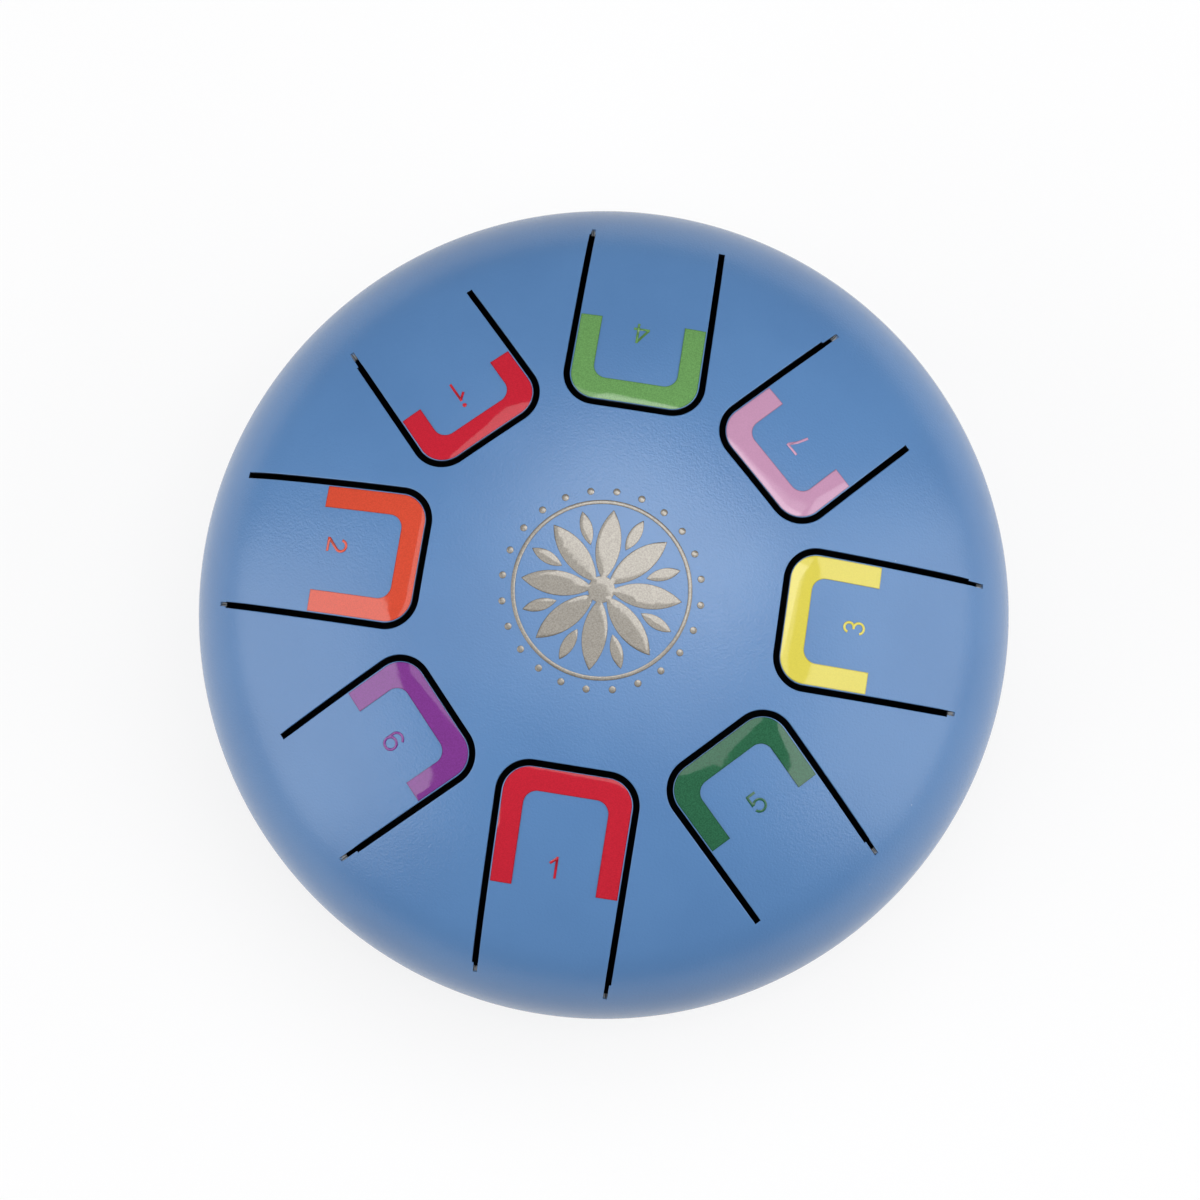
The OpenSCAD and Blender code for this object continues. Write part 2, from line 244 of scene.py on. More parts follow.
def paintSurface(graph, place):
    peel = graph.noise(place, paint["peelSize"])
    fine = graph.noise(place, paint["fineSize"], 1.0)
    cloud = graph.noise(place, paint["cloudSize"], 3.0)
    cells = {"Vector": place, "Scale": 1 / (paint["speckSize"] * mm)}
    cell = graph.add("ShaderNodeTexVoronoi", cells, "Distance")
    luck = graph.add("ShaderNodeSeparateColor", {"Color": graph.add("ShaderNodeTexVoronoi", cells, "Color")})
    speck = (1 - cell.rise(*paint["speckEdge"])) * (luck > paint["speckLuck"])
    color = graph.mix(cloud.rise(*paint["deepFrom"]) * paint["deepShare"], paint["color"], paint["deep"])
    color = graph.mix(speck * paint["speckShare"], color, paint["speckColor"])
    rough = paint["roughness"] + (cloud - 0.5) * paint["rougher"]
    relief = peel * paint["peelShare"] + fine * paint["fineShare"] + speck * paint["speckHeight"]
    return finished(color, rough, graph.bump(relief, paint["peelDepth"]))


# Plain finishes: a cloud mixes two colours over a grain. Noise is given by size, detail and roughness.
# near-black inside coat, partly painted shade: it keeps the slots, the port and the shell's inside dark
inside = {"color": (18, 20, 25), "other": (30, 32, 37), "cloud": (9.0, 4.0, 0.6), "grain": (0.5,), "depth": 0.01,
          "roughness": 0.62, "rougher": 0.2, "rougherBy": "grain", "specular": 0.3}
weldLook = {"color": (78, 120, 176), "other": (66, 104, 160), "cloud": (12.0, 3.0), "grain": (0.8, 3.0),
            "depth": 0.012, "roughness": 0.36, "rougher": 0.12, "coat": 0.1}
rubberLook = {"color": (38, 39, 42), "other": (74, 73, 72), "cloud": (3.5, 4.0, 0.65), "grain": (0.35, 3.0, 0.6),
              "depth": 0.02, "roughness": 0.68, "rougher": 0.16, "specular": 0.35, "dusty": (0.5, 0.8)}


def plainSurface(look):
    def surface(graph, place):
        cloud, grain = graph.noise(place, *look["cloud"]), graph.noise(place, *look["grain"])
        share = cloud.rise(*look["dusty"]) * 0.5 if "dusty" in look else cloud
        rougher = (grain if look.get("rougherBy") == "grain" else cloud) * look["rougher"]
        color = graph.mix(share, look["color"], look["other"])
        result = finished(color, look["roughness"] + rougher, graph.bump(grain, look["depth"]),
                          look.get("specular", 0.5))
        return {**result, "Coat Weight": look["coat"], "Coat Roughness": 0.15} if "coat" in look else result
    return surface


steel = {"bright": (164, 166, 168), "streak": (58, 68, 80), "dark": (14, 15, 18), "streakWidth": 0.2,
         "streakDrift": 0.12, "streakDepth": 0.02, "brightFrom": (0.35, 0.65), "scratchFrom": (0.38, 0.46),
         "scratchDeeper": 0.55, "darkFrom": (0.95, 1.4), "stainSize": 0.4, "stainDarker": 0.3, "roughness": 0.42,
         "rougher": 0.2, "metal": 0.2}


def steelSurface(graph, place):
    # the disc's run-out: streaks along the cut, bright where it leaves the sheet, with painted shade dark down in the
    # slot and paint left between them where the disc only scratches
    depth = graph.attribute("depth") / (sheet * mm)
    across = graph.attribute("across")
    line = graph.add("ShaderNodeCombineXYZ", {"X": across, "Y": depth * (steel["streakDrift"] * mm)})
    streaks = graph.noise(line, steel["streakWidth"], 2.0, 0.6)
    stain = graph.noise(place, steel["stainSize"], 3.0)
    scratches = streaks - depth * steel["scratchDeeper"]
    color = graph.mix(streaks.rise(*steel["brightFrom"]), steel["streak"], steel["bright"])
    color = graph.mix(scratches.rise(*steel["scratchFrom"]), color, paint["color"])
    # painted shade: the cut turns dark with its depth
    color = graph.mix((depth + stain * steel["stainDarker"]).rise(*steel["darkFrom"]), color, steel["dark"])
    return finished(color, steel["roughness"] + stain * steel["rougher"], graph.bump(streaks, steel["streakDepth"]),
                    metallic=steel["metal"])


# edgeShade darkens the films' edges: a printed edge line and a painted contact shadow
filmLook = {"roughness": 0.04, "rougher": 0.03, "wave": 6.5, "waveDepth": 0.035, "ripple": 1.5,
            "rippleDepth": 0.007, "grain": 0.24, "darkFrom": (0.3, 0.7), "edgeShade": 0.5, "edgeFrom": (0.3, 1.0),
            "edgeShare": 0.8, "specular": 0.55}


def filmSurface(color, dots):
    def surface(graph, place):
        rim = graph.attribute("rim")
        wave = graph.noise(place, filmLook["wave"], 1.0)
        ripple = graph.noise(place, filmLook["ripple"], 1.0)
        grain = graph.noise(place, filmLook["grain"])
        # shade is the films' darker edge: partly a printed edge line, partly painted contact shadow
        shade, light, dark = ([min(1.0, c * share) for c in rgb(*color)[:3]] + [1.0]
                              for share in (filmLook["edgeShade"], 1 + dots, 1 - dots))
        mixed = graph.mix(grain.rise(*filmLook["darkFrom"]), light, dark)
        mixed = graph.mix(rim.rise(*filmLook["edgeFrom"]) * filmLook["edgeShare"], mixed, shade)
        normal = graph.bump(ripple, filmLook["rippleDepth"], graph.bump(wave, filmLook["waveDepth"]))
        return finished(mixed, filmLook["roughness"] + grain * filmLook["rougher"], normal, filmLook["specular"])
    return surface


# the edge colour is painted shade along the foil's raised edges
foilLook = {"color": (146, 141, 132), "dark": (124, 119, 111), "darkFrom": (0.3, 0.7), "edge": (82, 80, 78),
            "edgeFrom": (0.1, 0.9), "edgeShare": 0.7, "metal": 0.22, "roughness": 0.07, "rougher": 0.06,
            "specular": 0.6, "grain": 0.26, "grainDepth": 0.0012, "wave": 4.0, "waveDepth": 0.03}


def foilSurface(graph, place):
    rim = graph.attribute("rim")
    grain = graph.noise(place, foilLook["grain"], 2.0, 0.6)
    wave = graph.noise(place, foilLook["wave"], 1.0)
    color = graph.mix(grain.rise(*foilLook["darkFrom"]), foilLook["color"], foilLook["dark"])
    # painted shade: the foil darkens at its edges
    color = graph.mix(rim.rise(*foilLook["edgeFrom"]) * foilLook["edgeShare"], color, foilLook["edge"])
    normal = graph.bump(wave, foilLook["waveDepth"], graph.bump(grain, foilLook["grainDepth"]))
    return finished(color, foilLook["roughness"] + grain * foilLook["rougher"], normal, foilLook["specular"],
                    foilLook["metal"])


bluePaint = newMaterial("bluePaint", paintSurface)
shellInside = newMaterial("shellInside", plainSurface(inside))
bareSteel = newMaterial("bareSteel", steelSurface)
greyFoil = newMaterial("greyFoil", foilSurface)
weldPaint = newMaterial("weldPaint", plainSurface(weldLook))
blackRubber = newMaterial("blackRubber", plainSurface(rubberLook))
# each film's colour, how strong its printed dots are, and its slot
filmColors = {
    "redFilm": ((185, 34, 51), 0.09, "red_film"),
    "orangeFilm": ((202, 74, 52), 0.08, "orange_film"),
    "yellowFilm": ((207, 195, 80), 0.03, "yellow_film"),
    "lightGreenFilm": ((100, 147, 85), 0.15, "light_green_film"),
    "darkGreenFilm": ((42, 94, 67), 0.18, "dark_green_film"),
    "purpleFilm": ((119, 54, 133), 0.1, "purple_film"),
    "pinkFilm": ((185, 139, 169), 0.04, "pink_film"),
}
films = {name: newMaterial(name, filmSurface(color, dots)) for name, (color, dots, _) in filmColors.items()}
# a face's finish number picks its material from this list
skinFinishes = [bluePaint, bareSteel, shellInside]
outer, bare, inner = 0, 1, 2
print("finishes made")


# Geometry trees
def newTree(name, sockets, materials):
    tree = bpy.data.node_groups.new(name, "GeometryNodeTree")
    tree.interface.new_socket(name="Geometry", in_out="OUTPUT", socket_type="NodeSocketGeometry")
    materials = [(f"Material {i}", "Material") for i in range(materials)]
    for socketName, kind in [("Geometry", "Geometry")] + sockets + materials:
        tree.interface.new_socket(name=socketName, in_out="INPUT", socket_type="NodeSocket" + kind)
    graph = Graph(tree)
    start = tree.nodes.new("NodeGroupInput")
    return tree, graph, {s.name: Wire(graph, s) for s in start.outputs if s.name}


def fieldOf(graph, name, kind):
    return graph.add("GeometryNodeInputNamedAttribute", {"Name": name}, "Attribute", data_type=kind)


def setMaterials(graph, geometry, wires, count):
    # the first material covers all faces, the others those of their finish number
    geometry = graph.add("GeometryNodeRealizeInstances", {"Geometry": geometry})
    finish = fieldOf(graph, "finish", "INT")
    for number in range(count):
        inputs = {"Geometry": geometry, "Material": wires[f"Material {number}"]}
        if number:
            inputs["Selection"] = graph.math("COMPARE", finish, float(number), 0.5)
        geometry = graph.add("GeometryNodeSetMaterial", inputs)
    graph.add("NodeGroupOutput", {"Geometry": geometry})


def makePressTree():
    # puts each point of a flat plan at its depth below the dome's outer face
    floats = ("Crown radius", "Crown drop", "Knuckle radius", "Knuckle middle", "Blend sine", "Rim height",
              "Up or down")
    tree, graph, wires = newTree("pressToDome", [(name, "Float") for name in floats], 3)
    position = graph.add("GeometryNodeInputPosition")
    depth = fieldOf(graph, "depth", "FLOAT")
    flat = graph.vector("MULTIPLY", position, (1.0, 1.0, 0.0))
    radius = graph.vector("LENGTH", flat, output="Value")
    crown = wires["Crown radius"] - depth
    knuckle = wires["Knuckle radius"] - depth
    run = radius - wires["Knuckle middle"]
    onCrown = graph.math("SQRT", crown * crown - radius * radius) - wires["Crown drop"]
    onKnuckle = graph.math("SQRT", graph.math("MAXIMUM", knuckle * knuckle - run * run, 0.0))
    onTop = radius < crown * wires["Blend sine"]
    height = wires["Rim height"] + wires["Up or down"] * (onCrown * onTop + onKnuckle * (1 - onTop))
    lifted = graph.vector("ADD", flat, graph.add("ShaderNodeCombineXYZ", {"Z": height}))
    pressed = graph.add("GeometryNodeSetPosition", {"Geometry": wires["Geometry"], "Position": lifted})
    setMaterials(graph, pressed, wires, 3)
    return tree


def makeRingTree():
    # repeats a piece round the drum's axis and joins a middle piece to the copies
    tree, graph, wires = newTree("ringOfCopies", [("Copies", "Int"), ("Core", "Object")], 1)
    points = graph.add("GeometryNodeMeshLine", {"Count": wires["Copies"], "Offset": (0.0, 0.0, 0.0)})
    index = graph.add("GeometryNodeInputIndex")
    turn = graph.add("ShaderNodeCombineXYZ", {"Z": index * (2 * math.pi) / wires["Copies"]})
    copies = graph.add("GeometryNodeInstanceOnPoints", {"Points": points, "Instance": wires["Geometry"],
                                                        "Rotation": turn})
    core = graph.add("GeometryNodeObjectInfo", {"Object": wires["Core"]}, "Geometry")
    joined = graph.add("GeometryNodeJoinGeometry")
    for part in (copies, core):
        graph.tree.links.new(part.socket, joined.socket.node.inputs[0])
    setMaterials(graph, joined, wires, 1)
    return tree


pressTree = makePressTree()
ringTree = makeRingTree()
pressInputs = {"Crown radius": crownRadius * mm, "Crown drop": crownDrop * mm,
               "Knuckle radius": knuckleRadius * mm, "Knuckle middle": knuckleMiddle * mm,
               "Blend sine": blendSine, "Rim height": rimHeight * mm}


def newObject(name, mesh):
    piece = bpy.data.objects.new(name, mesh)
    scene.collection.objects.link(piece)
    return piece


def newMesh(name, rows, faces, material=None, smooth=False):
    mesh = bpy.data.meshes.new(name)
    mesh.from_pydata(rows, [], faces)
    if smooth:
        mesh.polygons.foreach_set("use_smooth", [True] * len(faces))
    if material:
        mesh.materials.append(material)
    return mesh


def runTree(piece, tree, values):
    # evaluates one tree on a piece and leaves a plain mesh
    modifier = piece.modifiers.new(tree.name, "NODES")
    modifier.node_group = tree
    for item in tree.interface.items_tree:
        if item.item_type == "SOCKET" and item.in_out == "INPUT" and item.name in values:
            modifier[item.identifier] = values[item.name]
    graph = bpy.context.evaluated_depsgraph_get()
    mesh = bpy.data.meshes.new_from_object(piece.evaluated_get(graph), depsgraph=graph)
    piece.modifiers.remove(modifier)
    old = piece.data
    piece.data = mesh
    bpy.data.meshes.remove(old)
    mesh.name = piece.name
    return piece


# Flat plans, in millimetres
# steps between the points of outlines, and the gap below which points of a joined outline are thinned out
pitch = {"run": 0.7, "bend": 0.35, "smallBend": 0.3, "legEnd": 0.3, "cutEnd": 0.2, "kerf": 0.22, "kerfEnd": 0.11,
         "root": 0.4, "filmEnd": 0.5, "far": 3.0, "petal": 0.5, "filmInside": 0.9, "joined": 0.08}


class Pen:
    # draws an outline with the metal on its left
    def __init__(self, x, y):
        self.points = [(x, y)]

    def line(self, x, y, step=pitch["run"]):
        startX, startY = self.points[-1]
        run = math.hypot(x - startX, y - startY)
        if run > 1e-6:
            count = max(1, round(run / step))
            for i in range(1, count + 1):
                self.points.append((startX + (x - startX) * i / count, startY + (y - startY) * i / count))
        return self

    def arc(self, x, y, radius, first, last, step=pitch["bend"]):
        count = max(2, round(abs(math.radians(last - first)) * radius / step))
        for i in range(count + 1):
            dx, dy = polar(radius, math.radians(first + (last - first) * i / count))
            point = (x + dx, y + dy)
            if math.dist(point, self.points[-1]) > 1e-4:
                self.points.append(point)
        return self

    def closed(self):
        if math.dist(self.points[0], self.points[-1]) < 1e-4:
            self.points.pop()
        return self.points


def circleOutline(radius, middle=(0.0, 0.0), count=96, inward=False):
    steps = (polar(radius, (-2 if inward else 2) * math.pi * i / count) for i in range(count))
    return [(middle[0] + x, middle[1] + y) for x, y in steps]


def leftOf(outline):
    # sideways steps of one millimetre into the metal, mitred at corners
    points = np.array(outline)
    total = 0.0
    for edge in (points - np.roll(points, 1, 0), np.roll(points, -1, 0) - points):
        edge = edge / np.linalg.norm(edge, axis=1)[:, None]
        total = total + np.stack([-edge[:, 1], edge[:, 0]], 1)
    length = np.maximum((total ** 2).sum(1), 1.2)  # keeps the mitre of a sharp corner short
    return total * 2 / length[:, None]


def isInside(points, *outlines):
    # even-odd test of many points against closed outlines
    x, y = np.asarray(points).T[..., None]
    within = np.zeros(len(points), bool)
    for outline in outlines:
        (x0, y0), (x1, y1) = np.asarray(outline).T, np.roll(outline, -1, 0).T
        with np.errstate(divide="ignore", invalid="ignore"):
            at = x0 + (y - y0) / (y1 - y0) * (x1 - x0)
        within ^= (((y0 > y) != (y1 > y)) & (x < at)).sum(1) % 2 == 1
    return within


def triangulate(points, edges):
    # triangles between the points, which keep the edges, as corners of the given list
    _, _, faces, source, _, _ = delaunay_2d_cdt([Vector(p) for p in points], edges, [], 0, 1e-6, True)
    triangles = []
    for face in faces:
        a, b, c = (source[i][0] for i in face)
        pa, pb, pc = points[a], points[b], points[c]
        area = (pb[0] - pa[0]) * (pc[1] - pa[1]) - (pb[1] - pa[1]) * (pc[0] - pa[0])
        if abs(area) > 1e-9:
            triangles.append((a, b, c) if area > 0 else (a, c, b))
    return triangles


# what a plate keeps of each point beside its place in plan
layerNames = ("depth", "tilt", "outward", "around", "rim", "across")
skinNotes = ("depth", "across")  # the lengths, which the bare steel's material reads


class Plate:
    # points of a sheet in plan with their depth below the outer face, and faces by owner
    def __init__(self):
        self.rows = []
        self.known = {}
        self.faces = {}

    def point(self, x, y, depth, tilt=automatic, side=(0.0, 0.0), rim=0.0, across=0.0):
        key = (round(x, 4), round(y, 4), round(depth, 4))
        if key not in self.known:
            self.known[key] = len(self.rows)
            # the step into the metal is kept as its parts along and across the radius
            radius = math.hypot(x, y) or 1.0
            outward = (side[0] * x + side[1] * y) / radius
            around = (side[1] * x - side[0] * y) / radius
            self.rows.append((x, y, depth, tilt, outward, around, rim, across))
        return self.known[key]

    def through(self, x, y):
        # the points on the two faces of the sheet
        return [self.point(x, y, 0.0, 0.0), self.point(x, y, sheet, math.pi)]

    def face(self, owner, corners, finish=outer):
        ring = [c for i, c in enumerate(corners) if c != corners[i - 1]]
        if len(ring) > 2 and len(set(ring)) == len(ring):
            self.faces.setdefault(owner, []).append((ring, finish))

    def wall(self, owner, first, second, isBare=False):
        # the strip between two columns: its rounded edge has the outer finish, the rest the bare one or the near-black
        # inner one, which also paints the shade down in the slot
        for level in range(len(first) - 1):
            finish = bare if isBare and level > 1 else inner if level > 3 else outer
            self.face(owner, [first[level], first[level + 1], second[level + 1], second[level]], finish)

    def columns(self, outline, profile, rounding, place=None, limit=None):
        # for each outline point the points down over its edge; profile gives (out, depth, tilt)
        result = []
        for i, ((x, y), (sx, sy)) in enumerate(zip(outline, leftOf(outline))):
            column = []
            for out, depth, tilt in profile(rounding[i]):
                px, py = x + sx * out, y + sy * out
                if limit is not None:
                    px = min(px, limit(i, depth, px))
                sideX, sideY = sx, sy
                if place is not None:
                    px, py = place(px, py)
                    sideX, sideY = place(sx, sy, True)
                length = math.hypot(sideX, sideY) or 1.0
                column.append(self.point(px, py, depth, tilt, (sideX / length, sideY / length), 1.0, y))
            result.append(column)
        return result

    def mesh(self, name, owner="all", flip=False):
        faces = self.faces[owner]
        used = sorted({c for ring, _ in faces for c in ring})
        number = {old: new for new, old in enumerate(used)}
        rows = np.array([self.rows[c] for c in used])
        flat = np.column_stack([rows[:, 0] * mm, rows[:, 1] * mm, np.zeros(len(rows))])
        rings = [[number[c] for c in (reversed(ring) if flip else ring)] for ring, _ in faces]
        mesh = newMesh(name, flat.tolist(), rings)
        for label, values in zip(layerNames, rows.T[2:]):
            layer = mesh.attributes.new(label, "FLOAT", "POINT")
            layer.data.foreach_set("value", (values * (mm if label in skinNotes else 1.0)).astype(np.float32))
        layer = mesh.attributes.new("finish", "INT", "FACE")
        layer.data.foreach_set("value", [finish for _, finish in faces])
        return mesh


class Plan:
    # the outlines and loose points of a sheet, to be filled with triangles on its two faces
    def __init__(self, plate):
        self.plate = plate
        self.points, self.edges, self.top, self.bottom = [], [], [], []

    def add(self, spot, top, bottom):
        self.points.append(tuple(spot))
        self.top.append(top)
        self.bottom.append(bottom)
        return len(self.points) - 1

    def loose(self, x, y):
        return self.add((x, y), *self.plate.through(x, y))

    def loop(self, columns, owner=None):
        # a closed outline from its columns, with its walls if it has one owner
        first, after = len(self.points), columns[1:] + columns[:1]
        for column, following in zip(columns, after):
            if owner:
                self.plate.wall(owner, column, following)
            self.add(self.plate.rows[column[0]][:2], column[0], column[-1])
        self.edges += [(first + i, first + (i + 1) % len(columns)) for i in range(len(columns))]
        return first

    def fill(self, ownersOf, under):
        triangles = triangulate(self.points, self.edges)
        middles = np.array([np.mean([self.points[c] for c in t], axis=0) for t in triangles])
        for owner, (a, b, c) in zip(ownersOf(middles), triangles):
            if owner:
                self.plate.face(owner, [self.top[a], self.top[b], self.top[c]])
                self.plate.face(owner, [self.bottom[a], self.bottom[c], self.bottom[b]], under)


def finishPiece(piece, flip=False, keep=()):
    # gives the faces of a pressed piece the dome's own normals
    mesh = piece.data
    count = len(mesh.vertices)
    co = np.zeros(count * 3)
    mesh.vertices.foreach_get("co", co)
    co = co.reshape(-1, 3) / mm
    layers = {}
    for label in layerNames[:4]:
        layer = np.zeros(count, np.float32)
        mesh.attributes[label].data.foreach_get("value", layer)
        layers[label] = layer.astype(float)[:, None]
    depth = layers["depth"][:, 0] / mm
    radius = np.hypot(co[:, 0], co[:, 1])
    onCrown = radius < (crownRadius - depth) * blendSine
    sine = np.where(onCrown, radius / (crownRadius - depth), (radius - knuckleMiddle) / (knuckleRadius - depth))
    sine = np.clip(sine, 0, 1)
    away = co[:, :2] / np.maximum(radius, 1e-9)[:, None]
    sideways = np.stack([-away[:, 1], away[:, 0]], 1)
    up = np.column_stack([away * sine[:, None], np.sqrt(1 - sine ** 2) * (-1 if flip else 1)])
    out = np.column_stack([-layers["outward"] * away - layers["around"] * sideways, np.zeros(count)])
    normals = up * np.cos(layers["tilt"]) + out * np.sin(layers["tilt"])
    normals /= np.maximum(np.linalg.norm(normals, axis=1), 1e-9)[:, None]
    normals[layers["tilt"][:, 0] < -0.5] = 0.0
    finish = np.zeros(len(mesh.polygons), np.int32)
    mesh.attributes["finish"].data.foreach_get("value", finish)
    mesh.polygons.foreach_set("use_smooth", finish != bare)
    mesh.normals_split_custom_set_from_vertices(normals.tolist())
    for label in (*layerNames, "finish"):
        if label not in keep:
            mesh.attributes.remove(mesh.attributes[label])
    return piece


def press(piece, materials, flip=False, keep=()):
    # presses a plan onto the dome
    values = {**pressInputs, "Up or down": -1.0 if flip else 1.0}
    values.update({f"Material {i}": m for i, m in enumerate((materials * 3)[:3])})
    return finishPiece(runTree(piece, pressTree, values), flip, keep)


def pressPiece(name, plate, materials, owner="all", flip=False, keep=()):
    return press(newObject(name, plate.mesh(name, owner, flip)), materials, flip, keep)


def edgeProfile(top, bottom, walls, lean=0.0):
    # steps over an edge: how far into the metal, how deep, and how far the face leans
    def profile(rounding):
        steps = [(rounding * (1 - math.sin(a)), top + rounding * (1 - math.cos(a)), max(a, lean))
                 for a in (0.0, math.pi / 6, math.pi / 3, math.pi / 2)]
        start = top + rounding
        return steps + [(0.0, start + (bottom - start) * share, automatic) for share in walls]
    return profile


# The pressed shells
def rimRings(plate, owner, circle):
    # from the plan's outer circle over the rim, into the weld groove and back up the inner face
    def ring(at, depth, tilt):
        return [plate.point(x, y, depth, tilt) for x, y in circleOutline(at, count=drum["ringPoints"])]

    outerCount, innerCount, weldDepth = drum["outerRings"], drum["innerRings"], drum["weldDepth"]
    radius, innerRadius = knuckleRadius, knuckleRadius - sheet
    start = math.asin((planRadius - knuckleMiddle) / radius)
    end = math.acos(weldDepth / radius)
    rings = [[pair[0] for pair in circle]]
    for i in range(1, outerCount + 1):
        lean = start + (end - start) * i / outerCount
        rings.append(ring(knuckleMiddle + radius * math.sin(lean), 0.0, 0.0))
    rings.append(ring(drum["rimRadius"] - weldDepth, weldDepth, automatic))
    rings.append(ring(drum["rimRadius"] - sheet, sheet, automatic))
    start = math.asin((planRadius - knuckleMiddle) / innerRadius)
    for i in range(1, innerCount):
        lean = math.pi / 2 + (start - math.pi / 2) * i / innerCount
        rings.append(ring(knuckleMiddle + innerRadius * math.sin(lean), sheet, math.pi))
    rings.append([pair[1] for pair in circle])
    for i, (first, second) in enumerate(zip(rings[:-1], rings[1:])):
        for corners in zip(first, second, second[1:] + second[:1], first[1:] + first[:1]):
            plate.face(owner, corners, outer if i < outerCount else inner)


def seedPoints(step, edges, clear):
    # loose points on rings, a little less than a step apart and clear of the outlines
    seeds = [(0.0, 0.0)]
    radius = step
    while radius < planRadius - step * 0.6:
        count = max(6, round(2 * math.pi * radius / step))
        shift = 0.5 * (round(radius / step) % 2)
        seeds += [polar(radius, 2 * math.pi * (i + shift) / count) for i in range(count)]
        radius += step * 0.92
    edges = np.array(edges)
    return [(x, y) for x, y in seeds if np.min((edges[:, 0] - x) ** 2 + (edges[:, 1] - y) ** 2) > clear ** 2]


def closeShell(plan, owner, sizes, ownersOf):
    # the sheet from the slots or holes out to the plan's outer circle, and the rim beyond it
    edges = list(plan.points)
    circle = [plan.plate.through(x, y) for x, y in circleOutline(planRadius, count=drum["ringPoints"])]
    plan.loop(circle)
    for x, y in seedPoints(sizes["meshPitch"], edges, sizes["meshClear"]):
        plan.loose(x, y)
    plan.fill(ownersOf, inner)
    rimRings(plan.plate, owner, circle)
    return plan.plate


def noteFrame(note):
    # place of a tongue's own plan on the drum
    angle = math.radians(-90 + 45 * notes.index(note) + note["place"])
    bent = angle + math.radians(note["turn"])
    baseX, baseY = polar(slotCut["tipRing"] * note["tip"], angle)

    def place(u, v, onlyTurn=False):
        x, y = turned(u, v, bent)
        return (x, y) if onlyTurn else (x + baseX, y + baseY)
    return place


def noteSizes(note):
    length = slotCut["longest"] * 2 ** (-note["semitones"] / 24)
    legs = [length * share for share in note["legs"]]
    half = slotCut["width"] / 2
    return {"length": length, "legs": legs, "root": min(legs) - half,
            "kerfs": [leg + tuningCut["reach"] * cut if cut else None for leg, cut in zip(legs, note["cuts"])],
            "kerfMiddle": slotCut["span"] / 2 + note["cutSide"] * (slotCut["width"] - tuningCut["width"]) / 2}


def halfSlot(sizes, side):
    # one half of a slot's outline, from the middle of the tip round the leg's end and back
    half, middle, corner = slotCut["width"] / 2, slotCut["span"] / 2, slotCut["corner"]
    leg, kerf, root = sizes["legs"][side], sizes["kerfs"][side], sizes["root"]
    pen = Pen(-half, 0.0)
    pen.line(-half, middle - corner).arc(corner, middle - corner, corner + half, 180, 90)
    pen.line(leg - slotCut["sharpenFrom"], middle + half).line(leg, middle + half, pitch["legEnd"])
    if kerf is not None:
        width, at = tuningCut["width"] / 2, sizes["kerfMiddle"]
        pen.line(leg, at + width, pitch["cutEnd"]).line(kerf, at + width, pitch["kerf"])
        pen.line(kerf, at - width, pitch["kerfEnd"]).line(leg, at - width, pitch["kerf"])
    pen.line(leg, middle - half, pitch["cutEnd"]).line(root, middle - half, pitch["root"])
    pen.line(corner, middle - half).arc(corner, middle - corner, corner - half, 90, 180)
    return pen.line(half, 0.0).points


def rampBack(depth, lean):
    # how far behind the kerf's end the disc had reached this depth, in plan
    radius, disc = knuckleRadius, tuningCut["discRadius"]
    far = radius + disc - sheet - tuningCut["depth"]

    def reach(at):
        return math.acos((far ** 2 + at ** 2 - disc ** 2) / (2 * far * at))
    return radius * (reach(radius) - reach(radius - depth)) * math.cos(lean)


def cutSlot(plan, note):
    # one note's slot and the root line of its tongue; gives the slot's outline and the tongue's
    plate, sizes, place, owner = plan.plate, noteSizes(note), noteFrame(note), "tongue_" + note["name"]
    outline = halfSlot(sizes, 0)[:-1] + [(u, -v) for u, v in reversed(halfSlot(sizes, 1))][:-1]
    rounding, kerfAt = [], []
    for u, v in outline:
        side = 0 if v > 0 else 1
        leg, kerf = sizes["legs"][side], sizes["kerfs"][side]
        share = min(1.0, max(0.0, (u - leg + slotCut["sharpenFrom"]) / slotCut["sharpenRun"]))
        rounding.append(slotCut["edgeRound"] + (slotCut["kerfRound"] - slotCut["edgeRound"]) * share)
        inKerf = kerf and u > leg + 1e-6
        kerfAt.append((kerf, domeLean(*place(kerf, v)), leg) if inKerf else None)

    def limit(i, depth, u):
        if kerfAt[i] is None or depth < slotCut["kerfRound"] * 1.5:
            return u
        kerf, lean, leg = kerfAt[i]
        return max(leg, kerf - rampBack(min(depth, sheet), lean))

    columns = plate.columns(outline, edgeProfile(0.0, sheet, slotCut["levels"]), rounding, place, limit)
    legSide = (slotCut["span"] - slotCut["width"]) / 2
    roots = [i for i, (u, v) in enumerate(outline) if abs(u - sizes["root"]) < 1e-6 and abs(abs(v) - legSide) < 1e-6]
    firstRoot, lastRoot = min(roots), max(roots)
    for i, column in enumerate(columns):
        j = (i + 1) % len(columns)
        isEnd = kerfAt[i] and kerfAt[j] and min(outline[i][0], outline[j][0]) > kerfAt[i][0] - 1e-6
        plate.wall(owner if firstRoot <= i < lastRoot else "shell", column, columns[j], isEnd)
    first, count = plan.loop(columns), slotCut["rootSteps"]
    (startU, startV), (endU, endV) = outline[firstRoot], outline[lastRoot]
    startV, endV = startV - rounding[firstRoot], endV + rounding[lastRoot]
    line = [first + firstRoot]
    for i in range(1, count):
        spot = place(startU + (endU - startU) * i / count, startV + (endV - startV) * i / count)
        line.append(plan.loose(*spot))
    line.append(first + lastRoot)
    for i, (a, b) in enumerate(zip(line[:-1], line[1:])):
        plan.edges.append((a, b))
        corners = [plan.top[a], plan.top[b], plan.bottom[b], plan.bottom[a]]
        if i == 0:
            corners = corners[:3] + columns[firstRoot][:0:-1]
        if i == count - 1:
            corners = corners[:1] + columns[lastRoot] + corners[3:]
        plate.face("shell", corners, inner)
        plate.face(owner, corners[::-1], inner)
    return plan.points[first:first + len(columns)], plan.points[first + firstRoot:first + lastRoot + 1]


